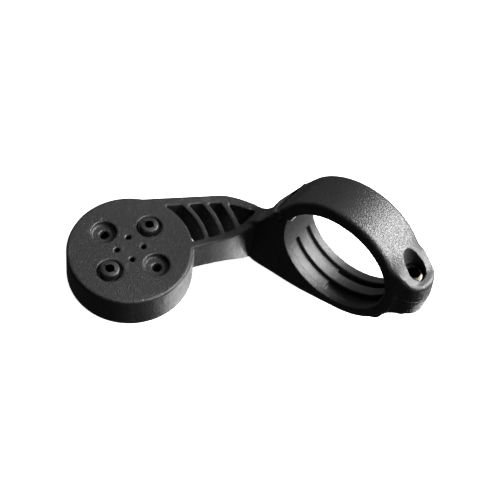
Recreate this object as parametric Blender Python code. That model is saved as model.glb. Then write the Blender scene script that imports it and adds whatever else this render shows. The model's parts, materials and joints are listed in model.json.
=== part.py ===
"""Out-front handlebar mount for a cycling computer, modelled with its screw side up.

Metres, +Z up. The origin is the centre of the handlebar bore, +Y runs along the bar and -X
points ahead of the bike. In use the whole part is turned over, so the computer's seat, which
opens downward here, faces up.
"""
import math

import bmesh
import bpy
import numpy as np
from mathutils import Matrix, Vector

MM = 0.001

# Handlebar clamp
BAR_RADIUS = 15.9 * MM
CLAMP_RADIUS = 19.4 * MM
CLAMP_HALF_WIDTH = 6.75 * MM
FLANK_ANGLE = math.radians(155)
FLANK_OFFSET = 19.8 * MM
BLOCK_LEFT = -26.0 * MM
BLOCK_FLOOR = -24.6 * MM
CAP_CHAMFER = 1.2 * MM
CLAMP_FLOOR = ((BLOCK_LEFT + 0.3 * MM, BLOCK_FLOOR + 1.4 * MM), (BLOCK_LEFT + 2.2 * MM, BLOCK_FLOOR),
               (-13.0 * MM, -23.2 * MM), (-6.7 * MM, -22.1 * MM), (-0.5 * MM, -20.4 * MM))
BORE_CUT_HALF = 12.0 * MM
MOUTH_TOP = 6.0 * MM

# Moulded relief in the lower half of the bore
GROOVE_SPANS = {"near": (-4.5 * MM, -0.9 * MM), "far": (2.3 * MM, 4.1 * MM)}
GROOVE_SHALLOW = 1.2 * MM
GROOVE_DEEP = 2.1 * MM
GROOVE_START = math.radians(-152)
GROOVE_STEP = math.radians(-93)
GROOVE_END = math.radians(-22)
EDGE_ROUND = 1.4 * MM

# Hinge
PIN_X = -18.3 * MM
PIN_Z = 2.8 * MM
PIN_RADIUS = 0.8 * MM
PIN_HALF_LENGTH = 6.5 * MM
PIN_CUT_HALF = 9.0 * MM
NECK_TOP_Z = 7.0 * MM
KNUCKLE_RADIUS = 1.8 * MM
KNUCKLE_CLEARANCE = 2.3 * MM
KNUCKLE_HALF_WIDTH = 3.7 * MM
HINGE_SPLIT_Z = 4.6 * MM
HINGE_FRONT_X = -24.0 * MM
HINGE_REAR_X = -14.0 * MM
CAP_LIP_X = -15.0 * MM

# Clamping lug, boss and bolt
BOLT_X = 18.9 * MM
BOLT_RADIUS = 1.5 * MM
BOLT_HEAD_RADIUS = 2.65 * MM
BOLT_HEAD_HEIGHT = 2.8 * MM
BOLT_LENGTH = 6.0 * MM
LUG_END_X = 19.6 * MM
LUG_RADIUS = 5.5 * MM
SPLIT_Z = 3.0 * MM
LUG_FLOOR_Z = -3.6 * MM
BOSS_TOP_Z = 9.0 * MM
COUNTERBORE_RADIUS = 2.95 * MM
COUNTERBORE_Z = 4.9 * MM
INSERT_RADIUS = 2.1 * MM
INSERT_LENGTH = 4.0 * MM
INSERT_WAIST = 0.15 * MM
LUG_ROOT_X = 11.0 * MM
HALF_ROOT_X = 10.0 * MM
BOSS_ROOT_X = 8.0 * MM
BOSS_LIMIT_X = 27.0 * MM
FAIRING = ((22.0, 9.0), (20.2, 9.3), (18.6, 10.6), (16.5, 12.7), (14.0, 14.5), (11.5, 15.9),
           (8.0, 17.5))

# Round seat plate ahead of the bar and to its side
SEAT_X = -45.4 * MM
SEAT_Y = -35.4 * MM
TOP_Z = -7.5 * MM
SEAT_RADIUS = 16.9 * MM
SEAT_DRAFT = 0.5 * MM
SEAT_DEPTH = 10.9 * MM
POCKET_RADIUS = 14.9 * MM
POCKET_FLOOR_Z = -11.9 * MM
PATTERN_RADIUS = 8.75 * MM
PATTERN_TURN = math.radians(6)
SCREW_RECESS_RADIUS = 3.4 * MM
SCREW_RECESS_DEPTH = 1.4 * MM
LOCATING_HOLE_RADIUS = 0.75 * MM
LOCATING_PATTERN_RADIUS = 3.55 * MM

# Truss arm
ARM_FAR_OFFSET = 16.1 * MM
ARM_FAR_ANGLE = math.radians(47)
ARM_FAR_STRAIGHT = 14.0 * MM
ARM_FAR_BEND = ((-38.9, -5.0), (-36.7, -3.4), (-34.3, -2.2), (-31.5, -1.2), (-27.8, 0.0),
                (-24.0, 1.2))
ARM_NEAR_EDGE = ((-37.0, -29.5), (-34.0, -25.5), (-31.2, -20.9), (-29.3, -17.7), (-27.7, -14.6),
                 (-26.4, -11.2), (-25.5, -7.8), (-24.8, -4.6))
ARM_FLOORS = (-18.2, -18.2, -18.2, -18.5, -19.4, -21.2, -23.6, -24.4)
WINDOW_TIP = (-28.0 * MM, -2.7 * MM)
WINDOW_FLOOR = -31.0 * MM
FAR_WALL = 2.8 * MM
NEAR_WALL = 2.2 * MM
RIB_RADII = ((20.2 * MM, 21.7 * MM), (24.8 * MM, 26.4 * MM), (29.4 * MM, 31.2 * MM))

# Quarter-turn socket
PUCK_RADIUS = 14.6 * MM
PUCK_TOP_Z = -12.2 * MM
PUCK_FLOOR_Z = -15.2 * MM
PUCK_MOUTH_Z = -18.7 * MM
SOCKET_RADIUS = 12.7 * MM
TAB_RADIUS = 10.4 * MM
TAB_TOP_Z = -17.2 * MM
TAB_HALF_ANGLE = math.radians(32)

SCREW_RADIUS = 1.25 * MM
SCREW_HEAD_RADIUS = 2.85 * MM
SCREW_HEAD_HEIGHT = 2.2 * MM
SCREW_LENGTH = 6.0 * MM
HEX_ACROSS_FLATS = 2.0 * MM

GAP = 0.3 * MM
SHAFT_CLEARANCE = 0.35 * MM
OVERRUN = 3.0 * MM
ROUND_STEPS = 72
PLATE_STEPS = 96
BORE_STEPS = 120


def clear_scene():
    for item in list(bpy.data.objects):
        bpy.data.objects.remove(item, do_unlink=True)


def material(name, colour, roughness, metallic=0.0):
    surface = bpy.data.materials.new(name)
    surface.use_nodes = True
    shader = surface.node_tree.nodes["Principled BSDF"]
    shader.inputs["Base Color"].default_value = (*colour, 1.0)
    shader.inputs["Roughness"].default_value = roughness
    shader.inputs["Metallic"].default_value = metallic
    return surface


def finish_mesh(name, mesh_builder, surface=None, location=(0, 0, 0)):
    bmesh.ops.recalc_face_normals(mesh_builder, faces=mesh_builder.faces)
    mesh = bpy.data.meshes.new(name)
    mesh_builder.to_mesh(mesh)
    mesh_builder.free()
    item = bpy.data.objects.new(name, mesh)
    item.location = location
    bpy.context.collection.objects.link(item)
    if surface:
        mesh.materials.append(surface)
    mesh.shade_smooth()
    mesh.set_sharp_from_angle(angle=math.radians(30))
    return item


def prism(name, outline, low, high, axis="Z", surface=None):
    """Extrude a closed outline. Along Z its points are (x, y), along Y they are (x, z)."""
    shape = bmesh.new()
    if axis == "Z":
        points = [shape.verts.new((a, b, low)) for a, b in outline]
        travel = Vector((0, 0, high - low))
    else:
        points = [shape.verts.new((a, low, b)) for a, b in outline]
        travel = Vector((0, high - low, 0))
    face = shape.faces.new(points)
    grown = bmesh.ops.extrude_face_region(shape, geom=[face])
    moved = [v for v in grown["geom"] if isinstance(v, bmesh.types.BMVert)]
    bmesh.ops.translate(shape, verts=moved, vec=travel)
    return finish_mesh(name, shape, surface)


def turned(name, profile, centre=(0, 0, 0), steps=ROUND_STEPS, surface=None, axis="Z"):
    """Turn (radius, height) points about an axis; radius 0 at both ends closes a solid."""
    shape = bmesh.new()
    points = [shape.verts.new((r, 0, z)) for r, z in profile]
    edges = [shape.edges.new(pair) for pair in zip(points, points[1:])]
    if profile[0][0] > 0:
        edges.append(shape.edges.new((points[-1], points[0])))
    bmesh.ops.spin(shape, geom=points + edges, cent=(0, 0, 0), axis=(0, 0, 1),
                   angle=math.tau, steps=steps, use_merge=True)
    bmesh.ops.remove_doubles(shape, verts=shape.verts, dist=0.00001)
    if axis == "Y":
        bmesh.ops.rotate(shape, verts=shape.verts, matrix=Matrix.Rotation(-math.pi / 2, 3, "X"))
    bmesh.ops.translate(shape, verts=shape.verts, vec=centre)
    return finish_mesh(name, shape, surface)


def cylinder(name, centre, radius, low, high, steps=ROUND_STEPS, axis="Z", surface=None):
    profile = [(0, low), (radius, low), (radius, high), (0, high)]
    return turned(name, profile, centre, steps, surface, axis)


def combine(target, tool, operation):
    tool.hide_render = True
    tool.display_type = "WIRE"
    change = target.modifiers.new(tool.name, "BOOLEAN")
    change.operation = operation
    change.solver = "EXACT"
    change.object = tool


def add(target, tool):
    combine(target, tool, "UNION")


def cut(target, tool):
    combine(target, tool, "DIFFERENCE")


def keep_common(target, tool):
    combine(target, tool, "INTERSECT")


def arc(radius, start, end, steps, centre=(0, 0)):
    return [(centre[0] + radius * math.cos(a), centre[1] + radius * math.sin(a))
            for a in np.linspace(start, end, steps)]


def seat_point(radius, angle):
    return SEAT_X + radius * math.cos(angle), SEAT_Y + radius * math.sin(angle)


def far_edge(offset):
    """Far side of the arm in plan: straight off the round plate, then bending to the clamp."""
    normal = Vector((-math.sin(ARM_FAR_ANGLE), math.cos(ARM_FAR_ANGLE)))
    along = Vector((math.cos(ARM_FAR_ANGLE), math.sin(ARM_FAR_ANGLE)))
    start = Vector((SEAT_X, SEAT_Y)) + normal * offset
    inset = ARM_FAR_OFFSET - offset
    points = [tuple(start), tuple(start + along * ARM_FAR_STRAIGHT)]
    points += [(x * MM + inset * 0.45, y * MM - inset * 0.9) for x, y in ARM_FAR_BEND]
    return points


def near_edge(inset):
    """Near side of the arm in plan, from inside the round plate to inside the clamp."""
    return [(x * MM - inset * 0.93, y * MM + inset * 0.36) for x, y in ARM_NEAR_EDGE]


def arm_solid():
    """Loft the arm through its stations: flat top, underside falling toward the clamp."""
    shape = bmesh.new()
    rings = []
    for near, far, floor in zip(near_edge(0), far_edge(ARM_FAR_OFFSET), ARM_FLOORS):
        low = floor * MM
        corners = [(*near, TOP_Z), (*far, TOP_Z), (*far, low), (*near, low)]
        rings.append([shape.verts.new(c) for c in corners])
    for ring, following in zip(rings, rings[1:]):
        for k in range(4):
            shape.faces.new((ring[k], ring[(k + 1) % 4], following[(k + 1) % 4], following[k]))
    shape.faces.new(rings[0])
    shape.faces.new(rings[-1])
    return finish_mesh("arm_shape", shape)


def arm_windows():
    """The openings of the truss: the arm's inside outline less the curved ribs."""
    outline = near_edge(NEAR_WALL)[1:-2] + [WINDOW_TIP]
    outline += far_edge(ARM_FAR_OFFSET - FAR_WALL)[:-2][::-1]
    windows = prism("window_shape", outline, WINDOW_FLOOR + OVERRUN, 0)
    low, high = WINDOW_FLOOR, OVERRUN
    cut(windows, cylinder("plate_keep", (SEAT_X, SEAT_Y, 0), SEAT_RADIUS, low, high, PLATE_STEPS))
    for number, (inner, outer) in enumerate(RIB_RADII, 1):
        profile = [(inner, low), (outer, low), (outer, high), (inner, high)]
        cut(windows, turned(f"rib_{number}_shape", profile, (SEAT_X, SEAT_Y, 0), PLATE_STEPS))
    return windows


def flank_foot(z):
    """Point on the clamp's sloping front flank at height z."""
    return (-(FLANK_OFFSET - z * math.sin(FLANK_ANGLE)) / -math.cos(FLANK_ANGLE), z)


def clamp_profile():
    """Outline (x, z) of the lower clamp half and the deep foot of the arm."""
    top = flank_foot(HINGE_SPLIT_Z)
    foot = flank_foot(TOP_Z - 1.5 * MM)
    parting = SPLIT_Z - GAP / 2
    under = arc(CLAMP_RADIUS, math.radians(-75), math.radians(8.5), 26)
    inside = [(HALF_ROOT_X, parting), (CAP_LIP_X, parting), (CAP_LIP_X, HINGE_SPLIT_Z - GAP)]
    return [top, foot, (BLOCK_LEFT, foot[1] - 1.5 * MM), *CLAMP_FLOOR] + under + inside


def lug_outline(half_width=LUG_RADIUS):
    end = arc(half_width, -math.pi / 2, math.pi / 2, 25, (LUG_END_X, 0))
    return [(LUG_ROOT_X, -half_width)] + end + [(LUG_ROOT_X, half_width)]


def bore_groove(label):
    """Moulded relief in the lower half of the bore: shallow first, deeper past the bottom."""
    outline = arc(BAR_RADIUS + GROOVE_SHALLOW, GROOVE_START, GROOVE_STEP, 22)
    outline += arc(BAR_RADIUS + GROOVE_DEEP, GROOVE_STEP, GROOVE_END, 26)
    outline += arc(BAR_RADIUS - 1 * MM, GROOVE_END, GROOVE_START, 30)
    return prism(f"groove_{label}_cut", outline, *GROOVE_SPANS[label], "Y")


def mount_body(surface):
    body = prism("mount_body", clamp_profile(), -CLAMP_HALF_WIDTH, CLAMP_HALF_WIDTH, "Y", surface)
    add(body, prism("lug_shape", lug_outline(), LUG_FLOOR_Z, SPLIT_Z - GAP / 2))
    for side in (-1, 1):
        ends = sorted((side * CLAMP_HALF_WIDTH, side * (KNUCKLE_HALF_WIDTH - 1 * MM)))
        add(body, cylinder(f"ear_{'near' if side < 0 else 'far'}_shape", (PIN_X, 0, PIN_Z),
                           KNUCKLE_RADIUS, *ends, 40, "Y"))
    top = TOP_Z
    floor = TOP_Z - SEAT_DEPTH
    edge = EDGE_ROUND
    profile = [(0, floor), (SEAT_RADIUS + SEAT_DRAFT, floor), (SEAT_RADIUS, top - edge)]
    profile += [(SEAT_RADIUS - edge + edge * math.cos(a), top - edge + edge * math.sin(a))
                for a in np.radians((30, 60, 90))] + [(0, top)]
    arm = arm_solid()
    cut(arm, arm_windows())
    add(body, arm)
    add(body, turned("plate_shape", profile, (SEAT_X, SEAT_Y, 0), PLATE_STEPS))
    reach = BORE_CUT_HALF
    cut(body, cylinder("bore_cut", (0, 0, 0), BAR_RADIUS, -reach, reach, BORE_STEPS, "Y"))
    mouth = [(-BAR_RADIUS, 0), (BAR_RADIUS, 0), (BAR_RADIUS, MOUTH_TOP), (-BAR_RADIUS, MOUTH_TOP)]
    cut(body, prism("mouth_cut", mouth, -reach, reach, "Y"))
    for label in GROOVE_SPANS:
        cut(body, bore_groove(label))
    low, high = PIN_Z - KNUCKLE_CLEARANCE, HINGE_SPLIT_Z + OVERRUN
    notch = [(HINGE_FRONT_X, low), (HINGE_REAR_X, low), (HINGE_REAR_X, high), (HINGE_FRONT_X, high)]
    width = KNUCKLE_HALF_WIDTH + GAP
    cut(body, prism("knuckle_cut", notch, -width, width, "Y"))
    cut(body, cylinder("pin_cut", (PIN_X, 0, PIN_Z), PIN_RADIUS + GAP, -PIN_CUT_HALF, PIN_CUT_HALF,
                      32, "Y"))
    insert_floor = SPLIT_Z - GAP / 2 - INSERT_LENGTH - GAP
    steps = [(0, LUG_FLOOR_Z - OVERRUN), (BOLT_RADIUS + SHAFT_CLEARANCE, LUG_FLOOR_Z - OVERRUN),
             (BOLT_RADIUS + SHAFT_CLEARANCE, insert_floor), (INSERT_RADIUS + GAP, insert_floor),
             (INSERT_RADIUS + GAP, SPLIT_Z + OVERRUN), (0, SPLIT_Z + OVERRUN)]
    cut(body, turned("lug_hole_cut", steps, (BOLT_X, 0, 0), 40))
    cut(body, cylinder("pocket_cut", (SEAT_X, SEAT_Y, 0), POCKET_RADIUS,
                       floor - OVERRUN, POCKET_FLOOR_Z, PLATE_STEPS))
    recess_floor = TOP_Z - SCREW_RECESS_DEPTH
    for quarter in range(4):
        x, y = seat_point(PATTERN_RADIUS, PATTERN_TURN + quarter * math.pi / 2)
        hole = [(0, POCKET_FLOOR_Z - OVERRUN), (SCREW_RADIUS + SHAFT_CLEARANCE, POCKET_FLOOR_Z - OVERRUN),
                (SCREW_RADIUS + SHAFT_CLEARANCE, recess_floor), (SCREW_RECESS_RADIUS, recess_floor),
                (SCREW_RECESS_RADIUS, TOP_Z + OVERRUN), (0, TOP_Z + OVERRUN)]
        cut(body, turned(f"screw_hole_{quarter}_cut", hole, (x, y, 0), 32))
        x, y = seat_point(LOCATING_PATTERN_RADIUS, PATTERN_TURN + (quarter + 0.5) * math.pi / 2)
        cut(body, cylinder(f"locating_hole_{quarter}_cut", (x, y, 0), LOCATING_HOLE_RADIUS,
                           POCKET_FLOOR_Z - OVERRUN, TOP_Z + OVERRUN, 16))
    return body


def clamp_cap(surface):
    """Hinged upper band: a half ring with the bolt boss at one end and a knuckle at the other."""
    start = math.asin((SPLIT_Z + GAP / 2) / CLAMP_RADIUS)
    lead_in = flank_foot(HINGE_SPLIT_Z)
    outer = arc(CLAMP_RADIUS, start, math.radians(146), 44) + [lead_in, (PIN_X - KNUCKLE_RADIUS, PIN_Z)]
    low = SPLIT_Z + GAP / 2
    inner = [(CAP_LIP_X, PIN_Z), (CAP_LIP_X + 1.5 * MM, NECK_TOP_Z), (HALF_ROOT_X, low)]
    cap = prism("clamp_cap", outer + inner, -CLAMP_HALF_WIDTH, CLAMP_HALF_WIDTH, "Y", surface)
    slope = [(BOSS_ROOT_X, low), (BOSS_LIMIT_X, low), (BOSS_LIMIT_X, BOSS_TOP_Z)]
    slope += [(x * MM, z * MM) for x, z in FAIRING]
    boss = prism("boss_shape", slope, -LUG_RADIUS, LUG_RADIUS, "Y")
    keep_common(boss, prism("boss_plan", lug_outline(), 0, CLAMP_RADIUS))
    add(cap, boss)
    reach = BORE_CUT_HALF
    split = [(HINGE_FRONT_X, -OVERRUN), (HINGE_REAR_X, -OVERRUN), (HINGE_REAR_X, HINGE_SPLIT_Z),
             (HINGE_FRONT_X, HINGE_SPLIT_Z)]
    cut(cap, prism("split_cut", split, -reach, reach, "Y"))
    for side, label in ((-1, "near"), (1, "far")):
        ends = sorted((side * KNUCKLE_HALF_WIDTH, side * reach))
        cut(cap, cylinder(f"ear_{label}_cut", (PIN_X, 0, PIN_Z), KNUCKLE_CLEARANCE, *ends, 40, "Y"))
    corner = CLAMP_RADIUS - CAP_CHAMFER
    outside = CLAMP_RADIUS + CAP_CHAMFER
    for side, label in ((-1, "near"), (1, "far")):
        face, inside, beyond = (side * (CLAMP_HALF_WIDTH + d) for d in (0, -CAP_CHAMFER, CAP_CHAMFER))
        edge = [(corner, beyond), (corner, face), (CLAMP_RADIUS, inside), (outside, inside),
                (outside, beyond)]
        cut(cap, turned(f"cap_edge_{label}_cut", edge, (0, 0, 0), BORE_STEPS, None, "Y"))
    neck = [(PIN_X - KNUCKLE_RADIUS, PIN_Z), (PIN_X + KNUCKLE_RADIUS, PIN_Z),
            (CAP_LIP_X, NECK_TOP_Z), flank_foot(NECK_TOP_Z)]
    knuckle = prism("knuckle_shape", neck, -KNUCKLE_HALF_WIDTH, KNUCKLE_HALF_WIDTH, "Y")
    add(knuckle, cylinder("knuckle_round", (PIN_X, 0, PIN_Z), KNUCKLE_RADIUS,
                          -KNUCKLE_HALF_WIDTH, KNUCKLE_HALF_WIDTH, 40, "Y"))
    add(cap, knuckle)
    cut(cap, cylinder("cap_bore_cut", (0, 0, 0), BAR_RADIUS, -reach, reach, BORE_STEPS, "Y"))
    cut(cap, cylinder("cap_pin_cut", (PIN_X, 0, PIN_Z), PIN_RADIUS + GAP, -PIN_CUT_HALF, PIN_CUT_HALF,
                      32, "Y"))
    shank = BOLT_RADIUS + SHAFT_CLEARANCE
    high = CLAMP_RADIUS + OVERRUN
    steps = [(0, 0), (shank, 0), (shank, COUNTERBORE_Z), (COUNTERBORE_RADIUS, COUNTERBORE_Z),
             (COUNTERBORE_RADIUS, high), (0, high)]
    cut(cap, turned("counterbore_cut", steps, (BOLT_X, 0, 0), 40))
    return cap


def socket_screw(name, centre, head_radius, head_height, shaft_radius, length, surface):
    """Socket head screw standing up Z, its head's underside at the centre point."""
    edge = 0.4 * MM
    profile = [(0, -length), (shaft_radius - 0.3 * MM, -length), (shaft_radius, 0.3 * MM - length),
               (shaft_radius, 0), (head_radius, 0), (head_radius, head_height - edge),
               (head_radius - edge, head_height), (0, head_height)]
    screw = turned(name, profile, centre, 40, surface)
    across = HEX_ACROSS_FLATS / 2 / math.cos(math.pi / 6)
    depth = head_height * 0.55
    outline = arc(across, 0, math.tau * 5 / 6, 6, centre[:2])
    top = centre[2] + head_height
    cut(screw, prism(f"{name}_hex", outline, top - depth, top + OVERRUN))
    return screw


def threaded_insert(surface):
    top = SPLIT_Z - GAP / 2
    inner = BOLT_RADIUS + SHAFT_CLEARANCE
    waist = INSERT_RADIUS - INSERT_WAIST
    profile = [(inner, top - INSERT_LENGTH), (INSERT_RADIUS, top - INSERT_LENGTH),
               (INSERT_RADIUS, top - 2.4 * MM), (waist, top - 2.2 * MM), (waist, top - 1.7 * MM),
               (INSERT_RADIUS, top - 1.5 * MM), (INSERT_RADIUS, top), (inner, top)]
    return turned("threaded_insert", profile, (BOLT_X, 0, 0), 32, surface)


def quarter_turn_socket(surface):
    """Puck screwed under the plate: a round recess with two inward tabs at its mouth."""
    profile = [(0, PUCK_FLOOR_Z), (SOCKET_RADIUS, PUCK_FLOOR_Z), (SOCKET_RADIUS, PUCK_MOUTH_Z),
               (PUCK_RADIUS, PUCK_MOUTH_Z), (PUCK_RADIUS, PUCK_TOP_Z), (0, PUCK_TOP_Z)]
    puck = turned("quarter_turn_socket", profile, (SEAT_X, SEAT_Y, 0), 80, surface)
    for label, heading in (("front", math.pi), ("rear", 0.0)):
        start, end = heading - TAB_HALF_ANGLE, heading + TAB_HALF_ANGLE
        outline = arc(SOCKET_RADIUS + 0.8 * MM, start, end, 13, (SEAT_X, SEAT_Y))
        outline += arc(TAB_RADIUS, end, start, 13, (SEAT_X, SEAT_Y))
        add(puck, prism(f"tab_{label}_shape", outline, PUCK_MOUTH_Z + 0.01 * MM, TAB_TOP_Z))
    for quarter in range(4):
        x, y = seat_point(PATTERN_RADIUS, PATTERN_TURN + quarter * math.pi / 2)
        cut(puck, cylinder(f"puck_hole_{quarter}_cut", (x, y, 0), SCREW_RADIUS + SHAFT_CLEARANCE,
                           PUCK_FLOOR_Z + GAP, PUCK_TOP_Z + OVERRUN, 24))
    return puck


def build():
    clear_scene()
    nylon = material("black_nylon_body", (0.035, 0.035, 0.037), 0.55)
    cap_nylon = material("black_nylon_cap", (0.038, 0.038, 0.04), 0.52)
    socket_nylon = material("black_nylon_socket", (0.03, 0.03, 0.032), 0.45)
    pin_steel = material("pin_steel", (0.35, 0.35, 0.36), 0.35, 1.0)
    bolt_steel = material("bolt_steel", (0.55, 0.54, 0.52), 0.25, 1.0)
    screw_steel = material("screw_steel", (0.42, 0.42, 0.43), 0.38, 1.0)
    brass = material("insert_brass", (0.72, 0.55, 0.28), 0.35, 1.0)

    mount_body(nylon)
    clamp_cap(cap_nylon)
    quarter_turn_socket(socket_nylon)
    cylinder("hinge_pin", (PIN_X, 0, PIN_Z), PIN_RADIUS, -PIN_HALF_LENGTH, PIN_HALF_LENGTH,
             24, "Y", pin_steel)
    socket_screw("clamp_bolt", (BOLT_X, 0, COUNTERBORE_Z + GAP), BOLT_HEAD_RADIUS,
                 BOLT_HEAD_HEIGHT, BOLT_RADIUS, BOLT_LENGTH, bolt_steel)
    threaded_insert(brass)
    for label, quarter in (("rear", 1), ("front", 3)):
        x, y = seat_point(PATTERN_RADIUS, PATTERN_TURN + quarter * math.pi / 2)
        head = TOP_Z - SCREW_RECESS_DEPTH + GAP
        socket_screw(f"socket_screw_{label}", (x, y, head), SCREW_HEAD_RADIUS,
                     SCREW_HEAD_HEIGHT, SCREW_RADIUS, SCREW_LENGTH, screw_steel)


build()
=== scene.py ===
# %% [markdown]
# # A handlebar mount for a cycling computer, lying screw side up
#
# The real thing is moulded in black glass-filled nylon: a round seat plate, a truss arm and the
# lower half of a clamp in one shot, a hinged cap moulded apart, and a quarter-turn socket screwed
# under the plate. The steel pin, bolt and screws and the brass insert are turned parts.
#
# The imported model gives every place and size. Each piece here is built again on those measures with
# the soft edges, fillets, threads and finishes that a moulded or turned part really has.

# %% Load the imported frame
import json
import math
import bmesh
import bpy
from mathutils import Matrix, Vector


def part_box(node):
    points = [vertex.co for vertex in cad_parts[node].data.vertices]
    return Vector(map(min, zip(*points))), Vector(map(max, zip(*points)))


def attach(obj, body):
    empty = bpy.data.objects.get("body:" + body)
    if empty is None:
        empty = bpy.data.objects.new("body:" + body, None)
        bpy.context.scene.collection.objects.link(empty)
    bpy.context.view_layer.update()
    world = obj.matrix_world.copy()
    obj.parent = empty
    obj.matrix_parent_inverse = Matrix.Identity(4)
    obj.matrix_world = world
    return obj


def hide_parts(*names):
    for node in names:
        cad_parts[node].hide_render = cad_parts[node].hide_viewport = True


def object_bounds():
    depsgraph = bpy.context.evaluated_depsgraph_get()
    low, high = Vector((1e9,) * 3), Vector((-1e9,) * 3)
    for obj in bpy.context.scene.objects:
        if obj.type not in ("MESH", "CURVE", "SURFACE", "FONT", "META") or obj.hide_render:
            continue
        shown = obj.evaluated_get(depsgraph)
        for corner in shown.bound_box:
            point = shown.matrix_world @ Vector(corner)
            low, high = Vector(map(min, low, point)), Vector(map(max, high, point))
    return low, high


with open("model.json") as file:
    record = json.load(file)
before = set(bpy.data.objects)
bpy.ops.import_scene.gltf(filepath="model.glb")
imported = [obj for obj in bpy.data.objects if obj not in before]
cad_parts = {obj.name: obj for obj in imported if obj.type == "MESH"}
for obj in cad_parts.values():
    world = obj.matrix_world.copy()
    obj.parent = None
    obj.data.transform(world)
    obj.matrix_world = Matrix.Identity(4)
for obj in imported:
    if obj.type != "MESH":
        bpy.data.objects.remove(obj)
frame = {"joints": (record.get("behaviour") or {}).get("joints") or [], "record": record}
cad_box = [list(corner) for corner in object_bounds()]

# %% [markdown]
# ## Measures
#
# Anything that another piece has to meet is read from the frame: the seat's centre, the hinge line,
# the bolt's axis and the clamp's width. The rest are the mould maker's own sizes.

# %% Places taken from the frame
MM = 0.001


def centre_of(node):
    low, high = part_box(node)
    return (Vector(low) + Vector(high)) / 2


joints = {joint["name"]: joint for joint in frame["joints"]}
mounts = {mount["name"]: mount for mount in frame["record"]["mounts"]}
SEAT = Vector((*centre_of("quarter_turn_socket")[:2], 0))
PIN = Vector(joints["cap_hinge"]["pos_m"])
BOLT = Vector((*centre_of("clamp_bolt")[:2], 0))
TOP = mounts["screw_side_face"]["pos_m"][2]
HALF_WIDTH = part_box("clamp_cap")[1][1]
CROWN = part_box("clamp_cap")[1][2]
SEAT_FLOOR = mounts["computer_seat"]["pos_m"][2]
print("seat", [round(v / MM, 2) for v in SEAT], "hinge", [round(v / MM, 2) for v in PIN])

# %% The mould maker's sizes
BAR_RADIUS = 15.9 * MM
SPLIT = 3.0 * MM
SEAM = 0.09 * MM
HINGE_SPLIT = 4.5 * MM
FLANK_ANGLE = math.radians(155)
FLANK_OFFSET = 19.8 * MM
RIM_ROUND = 1.5 * MM
PLATE_RADIUS = 16.9 * MM
PLATE_DRAFT = 0.5 * MM
PLATE_ROUND = 0.7 * MM
POCKET_RADIUS = 14.9 * MM
POCKET_ROOF = -11.9 * MM
HOLE_CIRCLE = 8.75 * MM
HOLE_TURN = math.radians(6)
LUG_RADIUS = 5.5 * MM
LUG_CENTRE = Vector((19.6 * MM, 0, 0))
LUG_FLOOR = -3.6 * MM
FINE = 0.24 * MM

# %% [markdown]
# ## Shaping helpers
#
# A moulded part is easy to think of as a few solids added together and a few taken away. The solids
# come from bmesh operators: an outline extruded into a slab, or a section spun about an axis. The
# Boolean modifier joins them, and a voxel remesh with a little smoothing then gives every edge the
# small radius that a steel mould leaves. Bevelling a Boolean result edge by edge would fail at its
# crowded corners, which is why the rounding is done on the whole skin at once.

# %% From bmesh to object
def arc(radius, start, end, steps, centre=(0, 0)):
    """Points on an arc given in degrees, both ends included."""
    angles = [math.radians(start + (end - start) * k / (steps - 1)) for k in range(steps)]
    return [(centre[0] + radius * math.cos(a), centre[1] + radius * math.sin(a)) for a in angles]


def flowing(points, steps):
    """A Catmull-Rom curve through the points, evenly stepped between each two."""
    ends = [Vector(p) for p in points]
    ends = [2 * ends[0] - ends[1]] + ends + [2 * ends[-1] - ends[-2]]
    curve = []
    for a, b, c, d in zip(ends, ends[1:], ends[2:], ends[3:]):
        for k in range(steps):
            t = k / steps
            curve.append(0.5 * (2 * b + (c - a) * t + (2 * a - 5 * b + 4 * c - d) * t * t
                                + (3 * b - a - 3 * c + d) * t ** 3))
    return curve + [ends[-2]]


def in_mm(points):
    return [tuple(value * MM for value in point) for point in points]


def to_object(name, shape):
    bmesh.ops.recalc_face_normals(shape, faces=shape.faces)
    mesh = bpy.data.meshes.new(name)
    shape.to_mesh(mesh)
    shape.free()
    item = bpy.data.objects.new(name, mesh)
    bpy.context.scene.collection.objects.link(item)
    return item


# %% Slabs and spun solids
def slab(name, outline, low, high, axis="Z", rounding=0.0, sharp=()):
    """An outline given as (x, y), or (x, z) along Y, extruded and its end rims rounded.

    sharp lists the outline's corners, by index, whose edges stay unrounded."""
    shape = bmesh.new()
    flat = [Vector((a, b, low)) if axis == "Z" else Vector((a, low, b)) for a, b in outline]
    face = shape.faces.new([shape.verts.new(p) for p in flat])
    grown = bmesh.ops.extrude_face_region(shape, geom=[face])["geom"]
    moved = [v for v in grown if isinstance(v, bmesh.types.BMVert)]
    along = Vector((0, 0, high - low)) if axis == "Z" else Vector((0, high - low, 0))
    bmesh.ops.translate(shape, verts=moved, vec=along)
    if rounding:
        keep = {tuple(round(c, 7) for c in flat[k]) for k in sharp}
        keep |= {tuple(round(c, 7) for c in flat[k] + along) for k in sharp}
        level = 2 if axis == "Z" else 1
        rim = [e for e in shape.edges
               if abs(e.verts[0].co[level] - e.verts[1].co[level]) < 1e-7
               and not all(tuple(round(c, 7) for c in v.co) in keep for v in e.verts)]
        bmesh.ops.bevel(shape, geom=rim, offset=rounding, offset_type="OFFSET", segments=5,
                        profile=0.5, affect="EDGES", material=-1, clamp_overlap=False)
    return to_object(name, shape)


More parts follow.
